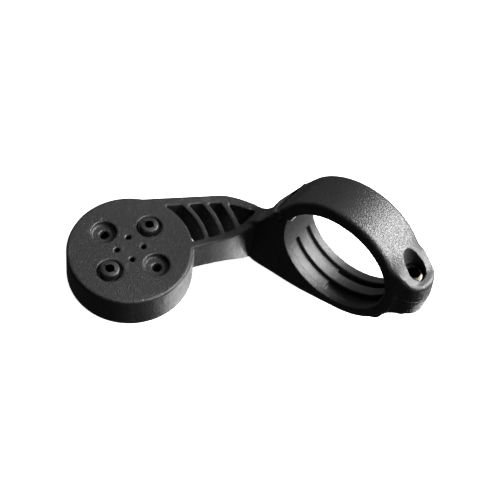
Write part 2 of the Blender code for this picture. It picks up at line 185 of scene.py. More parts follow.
def spun(name, section, centre=(0, 0, 0), steps=144, axis="Z", turn=math.tau, start=0.0):
    """A section of (radius, height) points spun about an axis, whole or in part."""
    shape = bmesh.new()
    verts = [shape.verts.new((r * math.cos(start), r * math.sin(start), z)) for r, z in section]
    whole = abs(turn - math.tau) < 1e-6
    if whole:
        edges = [shape.edges.new(pair) for pair in zip(verts, verts[1:])]
        if section[0][0] > 0:
            edges.append(shape.edges.new((verts[-1], verts[0])))
        geometry = verts + edges
    else:
        geometry = [shape.faces.new(verts)]
        geometry += list(geometry[0].edges) + verts
    bmesh.ops.spin(shape, geom=geometry, cent=(0, 0, 0), axis=(0, 0, 1), angle=turn, steps=steps,
                   use_merge=whole)
    bmesh.ops.remove_doubles(shape, verts=shape.verts, dist=1e-6)
    if axis == "Y":
        bmesh.ops.rotate(shape, verts=shape.verts, matrix=Matrix.Rotation(-math.pi / 2, 3, "X"))
    bmesh.ops.translate(shape, verts=shape.verts, vec=centre)
    return to_object(name, shape)


def rod(name, centre, radius, low, high, steps=96, axis="Z"):
    return spun(name, [(0, low), (radius, low), (radius, high), (0, high)], centre, steps, axis)


# %% Joining, cutting and baking
def combine(target, tool, operation):
    change = target.modifiers.new(tool.name, "BOOLEAN")
    change.operation = operation
    change.solver = "MANIFOLD"
    change.object = tool


def bake(item):
    """Apply an object's modifiers and remove the tools that they used."""
    graph = bpy.context.evaluated_depsgraph_get()
    mesh = bpy.data.meshes.new_from_object(item.evaluated_get(graph), depsgraph=graph)
    tools = [m.object for m in item.modifiers if m.type == "BOOLEAN"]
    item.modifiers.clear()
    item.data = mesh
    for tool in tools:
        bpy.data.objects.remove(tool, do_unlink=True)
    return item


def build(target, added=(), cuts=(), common=()):
    for tool in added:
        combine(target, tool, "UNION")
    for tool in common:
        combine(target, tool, "INTERSECT")
    for tool in cuts:
        combine(target, tool, "DIFFERENCE")
    return bake(target)


# %% The moulded skin
def near_line(point, start, end):
    span = end - start
    along = min(1.0, max(0.0, (point - start).dot(span) / max(span.length_squared, 1e-12)))
    return (point - start - span * along).length


def moulded(item, voxel, passes, fillets=(), triangles=180000):
    """Remesh a solid into one skin, melt the listed creases, then round every edge a little.

    A fillet is (start, end, reach, passes): the skin within reach of that line is smoothed."""
    skin = item.modifiers.new("skin", "REMESH")
    skin.mode = "VOXEL"
    skin.voxel_size = voxel
    bake(item)
    shape = bmesh.new()
    shape.from_mesh(item.data)
    for start, end, reach, times in fillets:
        start, end = Vector(start) * MM, Vector(end) * MM
        depths = [(v, near_line(v.co, start, end) / (reach * MM)) for v in shape.verts]
        inner = [v for v, depth in depths if depth < 1]
        core = [v for v, depth in depths if depth < 0.6]
        for turn in range(times):
            bmesh.ops.smooth_vert(shape, verts=inner if turn % 2 else core, factor=0.5,
                                  use_axis_x=True, use_axis_y=True, use_axis_z=True)
    shape.to_mesh(item.data)
    shape.free()
    ease = item.modifiers.new("ease", "SMOOTH")
    ease.factor = 0.5
    ease.iterations = passes
    bake(item)
    count = len(item.data.polygons) * 2
    if count > triangles:
        thin = item.modifiers.new("thin", "DECIMATE")
        thin.ratio = triangles / count
        bake(item)
    item.data.shade_smooth()
    print(item.name, "skin of", len(item.data.polygons), "faces from", count)
    return item


# %% [markdown]
# ## The mount body
#
# Plate, truss arm and lower clamp half leave the mould as one piece. The arm is lofted: one end
# section is extruded again and again, and each new ring is set to the next station. The truss is
# then cut by four curved windows that share the plate's centre, so that the ribs run parallel.

# %% The arm between its two edges
NEAR_EDGE = [(-37.0, -29.5), (-34.0, -25.5), (-31.2, -20.9), (-29.3, -17.7), (-27.7, -14.6),
             (-26.4, -11.2), (-25.5, -7.8), (-24.8, -4.6)]
FAR_OFFSET = 16.1
FAR_ANGLE = math.radians(47)
FAR_BEND = [(-38.9, -5.0), (-36.7, -3.4), (-34.3, -2.2), (-31.5, -1.2), (-27.8, 0.0), (-24.0, 1.2)]
ARM_FLOORS = [-18.2, -18.2, -18.2, -18.5, -19.4, -21.2, -23.6, -24.4]
STATION_STEPS = 6


def far_edge(inset):
    """The arm's far edge in plan: straight off the plate, then bending in to the clamp."""
    normal = Vector((-math.sin(FAR_ANGLE), math.cos(FAR_ANGLE)))
    along = Vector((math.cos(FAR_ANGLE), math.sin(FAR_ANGLE)))
    start = Vector((SEAT.x, SEAT.y)) / MM + normal * (FAR_OFFSET - inset)
    bend = [(x + inset * 0.45, y - inset * 0.9) for x, y in FAR_BEND]
    return [tuple(start), tuple(start + along * 14)] + bend


def near_edge(inset):
    return [(x - inset * 0.93, y + inset * 0.36) for x, y in NEAR_EDGE]


def lofted_arm():
    near = flowing([(*p, 0) for p in near_edge(0)], STATION_STEPS)
    far = flowing([(*p, 0) for p in far_edge(0)], STATION_STEPS)
    floor = flowing([(k, z, 0) for k, z in enumerate(ARM_FLOORS)], STATION_STEPS)
    top = TOP / MM
    rings = [[Vector(c) * MM for c in ((n.x, n.y, top), (f.x, f.y, top), (f.x, f.y, z.y), (n.x, n.y, z.y))]
             for n, f, z in zip(near, far, floor)]
    shape = bmesh.new()
    face = shape.faces.new([shape.verts.new(c) for c in rings[0]])
    for last, ring in zip(rings, rings[1:]):
        grown = bmesh.ops.extrude_face_region(shape, geom=[face])["geom"]
        if last is not rings[0]:
            bmesh.ops.delete(shape, geom=[face], context="FACES_ONLY")
        face = next(f for f in grown if isinstance(f, bmesh.types.BMFace))
        for vert in face.verts:
            corner = min(range(4), key=lambda k: (vert.co - last[k]).length)
            vert.co = ring[corner]
    return to_object("arm", shape)


# %% The windows of the truss
FAR_WALL = 2.8
NEAR_WALL = 2.2
RIBS = ((20.2, 21.7), (24.8, 26.4), (29.4, 31.2))
WINDOW_TIP = (-28.0, -2.7)
WINDOW_CORNER = 0.55 * MM


def truss_windows():
    """The arm's inner outline less the plate and the ribs, with its upright corners rounded."""
    near = [tuple(p)[:2] for p in flowing([(*p, 0) for p in near_edge(NEAR_WALL)], STATION_STEPS)]
    far = [tuple(p)[:2] for p in flowing([(*p, 0) for p in far_edge(FAR_WALL)], STATION_STEPS)]
    outline = near[STATION_STEPS + 1:-2 * STATION_STEPS] + [WINDOW_TIP] + far[:-2 * STATION_STEPS][::-1]
    windows = slab("windows", in_mm(outline), -30 * MM, 0)
    rings = [(0.0, PLATE_RADIUS / MM + 0.1)] + list(RIBS)
    keep = [spun(f"rib_{k}", in_mm([(a, -31), (b, -31), (b, 1), (a, 1)]), SEAT)
            for k, (a, b) in enumerate(rings)]
    build(windows, cuts=keep)
    shape = bmesh.new()
    shape.from_mesh(windows.data)
    bmesh.ops.remove_doubles(shape, verts=shape.verts, dist=1e-6)
    upright = [e for e in shape.edges if len(e.link_faces) == 2
               and abs(e.verts[0].co.z - e.verts[1].co.z) > 10 * MM
               and e.calc_face_angle(0) > math.radians(30)]
    bmesh.ops.bevel(shape, geom=upright, offset=WINDOW_CORNER, offset_type="OFFSET", segments=4,
                    profile=0.5, affect="EDGES", material=-1, clamp_overlap=True)
    bpy.data.objects.remove(windows, do_unlink=True)
    print("window corners rounded:", len(upright))
    return to_object("windows", shape)


# %% The lower half of the clamp
def flank(z):
    """The sloping front of the clamp at height z."""
    return (-(FLANK_OFFSET - z * math.sin(FLANK_ANGLE)) / -math.cos(FLANK_ANGLE), z)


def lower_clamp():
    floor = in_mm([(-26.0, -10.5), (-25.9, -22.6), (-25.2, -24.2), (-23.8, -24.6), (-21.0, -24.3),
                   (-16.6, -23.6), (-11.1, -22.9), (-6.7, -22.1), (-0.5, -20.4)])
    under = arc(CROWN, -75, 8.5, 34)
    inside = [(10 * MM, SPLIT - SEAM), (-15 * MM, SPLIT - SEAM), (-15 * MM, HINGE_SPLIT - SEAM)]
    outline = [flank(HINGE_SPLIT - SEAM), flank(-8.0 * MM)] + floor + under + inside
    corners = range(len(outline) - 4, len(outline) + 1)
    return slab("lower_clamp", outline, -HALF_WIDTH, HALF_WIDTH, "Y", RIM_ROUND,
                [k % len(outline) for k in corners])


LUG_ROOT = [(11.0, -6.6), (15.0, -6.6), (17.2, -6.4), (19.0, -5.9), (20.65, -5.4)]


def lug_outline():
    """The lug in plan: a round end that flares into the ring on both sides."""
    root = in_mm([tuple(p)[:2] for p in flowing([(*q, 0) for q in LUG_ROOT], 4)])
    round_end = arc(LUG_RADIUS, -74, 74, 29, LUG_CENTRE[:2])
    return root + round_end + [(x, -y) for x, y in root[::-1]]


LUG_FOOT = [(13.0, -12.6), (16.4, -10.3), (17.6, -8.2), (18.6, -6.2), (20.0, -4.5), (22.2, -3.7)]


def lug():
    """The lower lug: rounded below, sharp at the parting, and webbed to the ring under it."""
    body = slab("lug", lug_outline(), LUG_FLOOR, LUG_FLOOR + 9 * MM, "Z", 0.9 * MM)
    top = [(9 * MM, -8 * MM), (27 * MM, -8 * MM), (27 * MM, 8 * MM), (9 * MM, 8 * MM)]
    curve = in_mm([tuple(p)[:2] for p in flowing([(*q, 0) for q in LUG_FOOT], 4)])
    web = slab("web", curve + [(22.2 * MM, -2 * MM), (13 * MM, -2 * MM)], -8 * MM, 8 * MM, "Y")
    build(web, common=[slab("web_plan", lug_outline(), -14 * MM, 0)])
    return build(body, added=[web], cuts=[slab("lug_top", top, SPLIT - SEAM, 12 * MM)])


# %% The plate and everything cut from the body
GROOVES = {"near": (-4.5, -0.9), "far": (2.3, 4.1)}
SHALLOW = 1.1 * MM
DEEP = 2.0 * MM
PIN_RADIUS = 0.8 * MM
EAR_RADIUS = 2.0 * MM
EAR_SEAM = 2.22 * MM
KNUCKLE_HALF_WIDTH = 3.7 * MM
RECESS_RADIUS = 3.4 * MM
RECESS_FLOOR = TOP - 1.4 * MM
SCREW_HOLE = 1.25 * MM
LOCATING_RADIUS = 0.72 * MM
LOCATING_CIRCLE = 3.55 * MM


SEAT_TOE = TOP - 10.9 * MM


def seat_plate():
    edge = PLATE_ROUND
    rim = [(PLATE_RADIUS - edge + r, TOP - edge + z) for r, z in arc(edge, 0, 90, 9)]
    foot_radius = PLATE_RADIUS + PLATE_DRAFT
    foot = [(foot_radius - 0.5 * MM, SEAT_TOE), (foot_radius, SEAT_TOE + 0.5 * MM)]
    return spun("seat_plate", [(0, SEAT_TOE)] + foot + rim + [(0, TOP)], SEAT)


def groove(name, low, high):
    outline = arc(BAR_RADIUS + SHALLOW, -151, -93, 30) + arc(BAR_RADIUS + DEEP, -93, -22, 36)
    outline += arc(BAR_RADIUS - MM, -22, -151, 40)
    return slab(f"groove_{name}", outline, low * MM, high * MM, "Y")


def on_seat(radius, angle):
    return Vector((SEAT.x + radius * math.cos(angle), SEAT.y + radius * math.sin(angle), 0))


def quarter(k):
    return HOLE_TURN + k * math.pi / 2


def body_cuts():
    cuts = [rod("bore", (0, 0, 0), BAR_RADIUS, -12 * MM, 12 * MM, 240, "Y")]
    mouth = [(-BAR_RADIUS, 0), (BAR_RADIUS, 0), (BAR_RADIUS, 6 * MM), (-BAR_RADIUS, 6 * MM)]
    cuts.append(slab("mouth", mouth, -12 * MM, 12 * MM, "Y"))
    cuts += [groove(name, *span) for name, span in GROOVES.items()]
    low, width = PIN.z - EAR_SEAM, KNUCKLE_HALF_WIDTH + 0.15 * MM
    notch = [(-24 * MM, low), (-14 * MM, low), (-14 * MM, 9 * MM), (-24 * MM, 9 * MM)]
    cuts.append(slab("notch", notch, -width, width, "Y"))
    cuts.append(rod("pin_hole", PIN, PIN_RADIUS + 0.12 * MM, -9 * MM, 9 * MM, 48, "Y"))
    waist = 1.85 * MM
    steps = [(0, -9 * MM), (waist, -9 * MM), (waist, -1.4 * MM), (2.25 * MM, -1.4 * MM),
             (2.25 * MM, 6 * MM), (0, 6 * MM)]
    cuts.append(spun("bolt_hole", steps, BOLT, 64))
    cuts.append(rod("pocket", SEAT, POCKET_RADIUS, SEAT_TOE - 3 * MM, POCKET_ROOF, 144))
    for k in range(4):
        hole = [(0, POCKET_ROOF - 3 * MM), (SCREW_HOLE, POCKET_ROOF - 3 * MM), (SCREW_HOLE, RECESS_FLOOR),
                (RECESS_RADIUS, RECESS_FLOOR), (RECESS_RADIUS, TOP + 3 * MM), (0, TOP + 3 * MM)]
        cuts.append(spun(f"screw_hole_{k}", hole, on_seat(HOLE_CIRCLE, quarter(k)), 64))
        cuts.append(rod(f"locating_hole_{k}", on_seat(LOCATING_CIRCLE, quarter(k + 0.5)),
                        LOCATING_RADIUS, POCKET_ROOF - 3 * MM, TOP + 3 * MM, 32))
    return cuts


# %% Build the mount body
VALLEY_PLAN = [(-31.2, -6.4), (-20.5, -6.4), (-20.5, 1.9), (-24.0, 1.15), (-27.8, -0.05), (-31.2, -1.15)]
VALLEY = [(-22.2, -0.8), (-23.5, -3.6), (-24.7, -5.5), (-26.3, -6.8), (-28.6, -7.4), (-30.5, -7.6)]


def valley_web():
    """The soft fillet where the clamp's sloping flank runs out on to the arm."""
    curve = in_mm([tuple(p)[:2] for p in flowing([(*q, 0) for q in VALLEY], 4)])
    web = slab("valley", curve + [(-30.5 * MM, -12 * MM), (-20 * MM, -12 * MM), (-20 * MM, -0.8 * MM)],
               -9 * MM, 4 * MM, "Y")
    plan = slab("valley_plan", in_mm(VALLEY_PLAN), -13 * MM, 0)
    return build(web, common=[plan])


def mount_body():
    windows = truss_windows()
    arm = build(lofted_arm(), added=[valley_web()], cuts=[windows])
    ears = [rod(f"ear_{side}", PIN, EAR_RADIUS, *ends, 64, "Y")
            for side, ends in (("near", (-HALF_WIDTH, -KNUCKLE_HALF_WIDTH + MM)),
                               ("far", (KNUCKLE_HALF_WIDTH - MM, HALF_WIDTH)))]
    body = build(lower_clamp(), added=[lug(), *ears, arm, seat_plate()], cuts=body_cuts())
    body.name = "mount_body_moulded"
    fillets = [((-25.6, -6.9, -9.0), (-24.6, -6.9, -24.4), 1.3, 16),
               ((-26.4, -6.4, -7.0), (-26.4, 0.6, -7.0), 3.0, 60),
               ((-25.6, 1.0, -8.0), (-25.6, 1.0, -23.0), 2.2, 30),
               ((-33.6, -29.2, -9.6), (-33.6, -29.2, -18.0), 2.6, 60)]
    fillets += [((18.4, side * 6.3, 1.6), (17.2, side * 6.3, -6.5), 2.0, 40) for side in (-1, 1)]
    return moulded(body, FINE, 4, fillets, 190000)


body = mount_body()

# %% [markdown]
# ## The hinged cap
#
# The cap is half a ring with a boss at its free end. A saddle falls from the ring's crown to the
# boss, and the bolt's deep counterbore is sunk through it, which is why its mouth is a teardrop.

# %% The ring half and its boss
COUNTERBORE_RADIUS = 2.9 * MM
COUNTERBORE_FLOOR = 4.9 * MM
SADDLE = [(30.0, 8.75), (23.4, 8.8), (21.6, 9.0), (20.0, 9.6), (18.4, 10.9), (16.5, 12.7),
          (14.3, 14.3), (12.0, 15.5), (9.5, 16.85), (6.5, 18.0)]
SADDLE_CROWN = 1.5
BOSS_ROUND = 1.0 * MM
BOSS_HEIGHT = 5.7 * MM
BOSS_LEAN = 1.0 * MM
SCOOP_RADIUS = 2.7 * MM
SCOOP_TILT = math.radians(14)


def scoop():
    """A leaning cut that draws the counterbore's mouth out into a teardrop up the saddle."""
    item = rod("scoop", (0, 0, 0), SCOOP_RADIUS, 0, 16 * MM)
    item.data.transform(Matrix.Translation((BOLT.x, BOLT.y, 7.4 * MM)) @ Matrix.Rotation(-SCOOP_TILT, 4, "Y"))
    return item


def cap_ring():
    start = math.degrees(math.asin((SPLIT + SEAM) / CROWN))
    outer = arc(CROWN, start, 146, 60) + [flank(HINGE_SPLIT + SEAM), (PIN.x - 1.8 * MM, PIN.z)]
    inner = [(-15 * MM, PIN.z), (-13.5 * MM, 7 * MM), (10 * MM, SPLIT + SEAM)]
    outline = outer + inner
    last = len(outline)
    sharp = [0, last - 1, last - 2, last - 3, last - 4]
    return slab("cap_ring", outline, -HALF_WIDTH, HALF_WIDTH, "Y", RIM_ROUND, sharp)


def boss():
    low = SPLIT + SEAM
    side = [(6.5 * MM, low), (30 * MM, low)] + in_mm([tuple(p)[:2] for p in
                                                      flowing([(*q, 0) for q in SADDLE], 4)])
    solid = slab("boss", side, -8 * MM, 8 * MM, "Y")
    shape = bmesh.new()
    shape.from_mesh(solid.data)
    long_edges = [e for e in shape.edges if abs(e.verts[0].co.y - e.verts[1].co.y) > MM]
    bmesh.ops.subdivide_edges(shape, edges=long_edges, cuts=23)
    for vert in shape.verts:
        if vert.co.z > low + MM:
            x, y = vert.co.x / MM, vert.co.y / LUG_RADIUS
            vert.co.z -= SADDLE_CROWN * MM * y * y * math.exp(-((x - 15.4) / 2.8) ** 2)
    bmesh.ops.triangulate(shape, faces=shape.faces)
    shape.to_mesh(solid.data)
    shape.free()
    build(solid, common=[slab("boss_plan", lug_outline(), 0, 22 * MM)])
    shape = bmesh.new()
    shape.from_mesh(solid.data)
    bmesh.ops.remove_doubles(shape, verts=shape.verts, dist=1e-6)
    bmesh.ops.dissolve_limit(shape, angle_limit=math.radians(0.5), verts=shape.verts, edges=shape.edges)
    crest = [e for e in shape.edges if len(e.link_faces) == 2
             and min(abs(f.normal.z) for f in e.link_faces) < 0.05
             and max(f.normal.z for f in e.link_faces) > 0.3
             and max(v.co.x for v in e.verts) > 12 * MM]
    bmesh.ops.bevel(shape, geom=crest, offset=BOSS_ROUND, offset_type="OFFSET", segments=5,
                    profile=0.5, affect="EDGES", material=-1, clamp_overlap=False)
    for vert in shape.verts:
        rise = min(1.0, max(0.0, (vert.co.z - low) / BOSS_HEIGHT))
        reach = min(1.0, max(0.0, (vert.co.x - LUG_CENTRE.x) / LUG_RADIUS))
        vert.co.x -= BOSS_LEAN * rise * reach
    bpy.data.objects.remove(solid, do_unlink=True)
    print("boss crest edges rounded:", len(crest))
    return to_object("boss", shape)


CORNER_RELIEF = [(-19.75, 4.95), (-19.4, 4.45), (-20.4, 4.4), (-20.4, 4.95)]


def clamp_cap():
    width = KNUCKLE_HALF_WIDTH
    neck = [(PIN.x - 1.8 * MM, PIN.z), (PIN.x + 1.8 * MM, PIN.z), (-15.2 * MM, 7 * MM), flank(7 * MM)]
    knuckle = [slab("neck", neck, -width, width, "Y"),
               rod("knuckle", PIN, 1.8 * MM, -width, width, 64, "Y")]
    split = [(-24 * MM, -6 * MM), (-14 * MM, -6 * MM), (-14 * MM, HINGE_SPLIT), (-24 * MM, HINGE_SPLIT)]
    clear = [slab("split", split, -9 * MM, 9 * MM, "Y"),
             slab("corner_relief", in_mm(CORNER_RELIEF), -9 * MM, 9 * MM, "Y")]
    clear += [rod(f"ear_room_{k}", PIN, EAR_SEAM, *ends, 64, "Y")
              for k, ends in enumerate(((-9 * MM, -width), (width, 9 * MM)))]
    ring = build(cap_ring(), added=[boss()], cuts=clear)
    steps = [(0, 0), (1.85 * MM, 0), (1.85 * MM, COUNTERBORE_FLOOR), (COUNTERBORE_RADIUS, COUNTERBORE_FLOOR),
             (COUNTERBORE_RADIUS, 24 * MM), (0, 24 * MM)]
    cuts = [rod("cap_bore", (0, 0, 0), BAR_RADIUS, -12 * MM, 12 * MM, 240, "Y"),
            rod("cap_pin_hole", PIN, PIN_RADIUS + 0.12 * MM, -9 * MM, 9 * MM, 48, "Y"),
            spun("counterbore", steps, BOLT, 96), scoop()]
    cap = build(ring, added=knuckle, cuts=cuts)
    cap.name = "clamp_cap_moulded"
    fillets = [((18.0, side * 6.3, 5.2), (15.6, side * 6.3, 11.5), 2.0, 40) for side in (-1, 1)]
    fillets += [((11.5, -5.0, 15.8), (11.5, 5.0, 15.8), 3.0, 50)]
    return moulded(cap, FINE * 0.85, 4, fillets, 150000)


cap = clamp_cap()

# %% [markdown]
# ## The quarter-turn socket
#
# A separate round puck under the plate takes the computer's lugs: it is open below, with two
# inward tabs at the mouth. The steel screws reach it through the plate.

# %% Build the socket
PUCK_RADIUS = 14.6 * MM
PUCK_TOP = -12.2 * MM
PUCK_FLOOR = -15.2 * MM
SOCKET_RADIUS = 12.7 * MM
TAB_RADIUS = 10.4 * MM
TAB_TOP = -17.2 * MM
TAB_HALF_ANGLE = 32


def quarter_turn_socket():
    section = [(0, PUCK_FLOOR), (SOCKET_RADIUS, PUCK_FLOOR), (SOCKET_RADIUS, SEAT_FLOOR),
               (PUCK_RADIUS, SEAT_FLOOR), (PUCK_RADIUS, PUCK_TOP), (0, PUCK_TOP)]
    puck = spun("socket", section, SEAT)
    tabs = []
    for heading in (0, 180):
        outline = arc(SOCKET_RADIUS + 0.8 * MM, heading - TAB_HALF_ANGLE, heading + TAB_HALF_ANGLE, 21,
                      SEAT[:2])
        outline += arc(TAB_RADIUS, heading + TAB_HALF_ANGLE, heading - TAB_HALF_ANGLE, 21, SEAT[:2])
        tabs.append(slab(f"tab_{heading}", outline, SEAT_FLOOR + 0.02 * MM, TAB_TOP))
    holes = [rod(f"puck_hole_{k}", on_seat(HOLE_CIRCLE, quarter(k)), 1.45 * MM,
                 PUCK_FLOOR + 0.3 * MM, PUCK_TOP + 2 * MM, 40) for k in range(4)]
    build(puck, added=tabs, cuts=holes)
    puck.name = "quarter_turn_socket_moulded"
    return moulded(puck, FINE, 2, (), 120000)


socket = quarter_turn_socket()

# %% [markdown]
# ## Turned steel and brass
#
# Screws are spun about their own axis. The hexagon socket is not cut with a Boolean: a hexagonal
# loop is bridged to the round face around it, so that the head keeps clean, even faces. A thread is
# the same spin with a lift at each turn, the way that a lathe cuts it.

# %% Threads and socket heads
def thread(name, centre, root, crest, pitch, low, turns):
    """A helical ridge: one V-shaped section spun and lifted."""
    shape = bmesh.new()
    wall = root - 0.12 * MM
    section = [(wall, -0.42 * pitch), (crest, -0.06 * pitch), (crest, 0.06 * pitch), (wall, 0.42 * pitch)]
    face = shape.faces.new([shape.verts.new((r, 0, low + z)) for r, z in section])
    steps = 28
    bmesh.ops.spin(shape, geom=[face, *face.edges, *face.verts], cent=(0, 0, 0), axis=(0, 0, 1),
                   dvec=(0, 0, pitch / steps), angle=math.tau * turns, steps=round(steps * turns))
    bmesh.ops.translate(shape, verts=shape.verts, vec=centre)
    return to_object(name, shape)


def socket_head(name, centre, shank, head, height, length, across, ring):
    """A socket screw spun from one section, with a hexagon loop bridged into the head's top and extruded down
    into the socket.
    """
    under = Vector(centre)
    section = [(0, -length), (shank - 0.35 * MM, -length), (shank, -length + 0.35 * MM), (shank, -0.25 * MM),
               (shank + 0.12 * MM, 0), (head - 0.1 * MM, 0), (head, 0.1 * MM), (head, height - ring),
               (head - 0.35 * ring, height - 0.3 * ring), (head - ring, height)]
    shape = bmesh.new()
    verts = [shape.verts.new((r, 0, z)) for r, z in section]
    edges = [shape.edges.new(pair) for pair in zip(verts, verts[1:])]
    steps = 96
    bmesh.ops.spin(shape, geom=verts + edges, cent=(0, 0, 0), axis=(0, 0, 1), angle=math.tau,
                   steps=steps, use_merge=True)
    bmesh.ops.remove_doubles(shape, verts=shape.verts, dist=1e-6)
    corner = across / 2 / math.cos(math.pi / 6)
    rim = [e for e in shape.edges if len(e.link_faces) == 1]
    flare = bmesh.ops.create_circle(shape, cap_ends=False, radius=corner + 0.18 * MM, segments=steps)
    flare_edges = {e for v in flare["verts"] for e in v.link_edges}
    bmesh.ops.translate(shape, verts=flare["verts"], vec=(0, 0, height))
    bmesh.ops.bridge_loops(shape, edges=rim + list(flare_edges))
    hexagon = bmesh.ops.create_circle(shape, cap_ends=False, radius=corner, segments=6)
    hex_edges = {e for v in hexagon["verts"] for e in v.link_edges}
    bmesh.ops.translate(shape, verts=hexagon["verts"], vec=(0, 0, height - 0.22 * MM))
    hexagon_edges = bmesh.ops.subdivide_edges(shape, edges=list(hex_edges), cuts=15)
    loop = [e for e in hexagon_edges["geom_inner"] + hexagon_edges["geom_split"]
            if isinstance(e, bmesh.types.BMEdge)]
    loop = list({e for e in loop if not e.link_faces})
    bmesh.ops.bridge_loops(shape, edges=list(flare_edges) + loop)
    depth = height * 0.6
    walls = bmesh.ops.extrude_edge_only(shape, edges=loop)["geom"]
    low_verts = [v for v in walls if isinstance(v, bmesh.types.BMVert)]
    bmesh.ops.translate(shape, verts=low_verts, vec=(0, 0, -depth))
    low_edges = [e for e in walls if isinstance(e, bmesh.types.BMEdge)]
    drill = bmesh.ops.extrude_edge_only(shape, edges=low_edges)["geom"]
    tip = [v for v in drill if isinstance(v, bmesh.types.BMVert)]
    bmesh.ops.translate(shape, verts=tip, vec=(0, 0, -0.3 * MM))
    bmesh.ops.pointmerge(shape, verts=tip, merge_co=(0, 0, height - 0.52 * MM - depth))
    bmesh.ops.rotate(shape, verts=shape.verts, matrix=Matrix.Rotation(math.radians(11), 3, "Z"))
    bmesh.ops.translate(shape, verts=shape.verts, vec=under)
    return to_object(name, shape)


def finish_turned(item, angle=32):
    item.data.shade_smooth()
    item.data.set_sharp_from_angle(angle=math.radians(angle))
    return item


# %% The two seat screws, the clamp bolt, the insert and the pin
def fastener(name, node, shank, head, height, across, pitch, ring):
    low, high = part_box(node)
    centre = centre_of(node)
    under = Vector((centre.x, centre.y, high[2] - height))
    length = under.z - low[2]
    screw = socket_head(name, under, shank - 0.14 * MM, head, height, length, across, ring)
    turns = (length - 1.3 * MM) / pitch
    ridge = thread(f"{name}_ridge", (under.x, under.y, 0), shank - 0.14 * MM, shank, pitch,
                   low[2] + 0.55 * MM, turns)
    build(screw, added=[ridge])
    print(name, "length", round(length / MM, 2), "turns", round(turns, 1))
    return finish_turned(screw)


rear = fastener("seat_screw_rear", "socket_screw_rear", 1.25 * MM, 2.5 * MM, 2.2 * MM, 1.8 * MM,
                0.45 * MM, 0.32 * MM)
front = fastener("seat_screw_front", "socket_screw_front", 1.25 * MM, 2.5 * MM, 2.2 * MM, 1.8 * MM,
                 0.45 * MM, 0.32 * MM)
bolt = fastener("clamp_bolt_threaded", "clamp_bolt", 1.5 * MM, 2.65 * MM, 2.8 * MM, 2.5 * MM,
                0.5 * MM, 0.35 * MM)


def brass_insert():
    low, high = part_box("threaded_insert")
    outer, inner = 2.1 * MM, 1.85 * MM
    base, top = low[2], high[2]
    waist = outer - 0.15 * MM
    section = [(inner + 0.1 * MM, base), (outer - 0.1 * MM, base), (outer, base + 0.1 * MM),
               (outer, top - 2.4 * MM), (waist, top - 2.2 * MM), (waist, top - 1.7 * MM),
               (outer, top - 1.5 * MM), (outer, top - 0.1 * MM), (outer - 0.1 * MM, top),
               (inner + 0.1 * MM, top), (inner, top - 0.1 * MM), (inner, base + 0.1 * MM)]
    return finish_turned(spun("brass_insert", section, BOLT, 96))


def hinge_pin():
    low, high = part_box("hinge_pin")
    radius = 0.8 * MM
    section = [(0, low[1] + 0.12 * MM), (0.3 * MM, low[1] + 0.12 * MM), (0.36 * MM, low[1]),
               (radius - 0.14 * MM, low[1]), (radius, low[1] + 0.14 * MM), (radius, high[1] - 0.14 * MM),
               (radius - 0.14 * MM, high[1]), (0, high[1])]
    return finish_turned(spun("hinge_pin_turned", section, PIN, 64, "Y"))


insert = brass_insert()
pin = hinge_pin()

# %% [markdown]
# ## Finishes
#
# Glass-filled nylon comes out of a spark-eroded mould with a fine, even grain. It is nearly black,
# and what the eye reads is its sheen, a little smoother on the edges that hands and the mould's own
# parting have polished. Those convex edges are also painted lighter, a painted highlight in place of
# the light they catch. Two node groups carry those effects and each finish sets its own values.

# %% Small tools for node trees
def new_finish(name):
    surface = bpy.data.materials.new(name)
    surface.use_nodes = True
    tree = surface.node_tree
    return surface, tree, tree.nodes["Principled BSDF"]


def add_node(tree, kind, values=None, **settings):
    node = tree.nodes.new(kind)
    for key, value in settings.items():
        setattr(node, key, value)
    for key, value in (values or {}).items():
        node.inputs[key].default_value = value
    return node


def wire(tree, *pairs):
    for source, target in pairs:
        tree.links.new(source, target)


def group(name, inputs, outputs):
    tree = bpy.data.node_groups.new(name, "ShaderNodeTree")
    for label, kind, value in inputs:
        socket_in = tree.interface.new_socket(name=label, in_out="INPUT", socket_type=kind)
        if value is not None:
            socket_in.default_value = value
    for label, kind in outputs:
        tree.interface.new_socket(name=label, in_out="OUTPUT", socket_type=kind)
    return tree, tree.nodes.new("NodeGroupInput"), tree.nodes.new("NodeGroupOutput")


def use_group(tree, made, **values):
    node = tree.nodes.new("ShaderNodeGroup")
    node.node_tree = made
    for key, value in values.items():
        node.inputs[key.replace("_", " ")].default_value = value
    return node


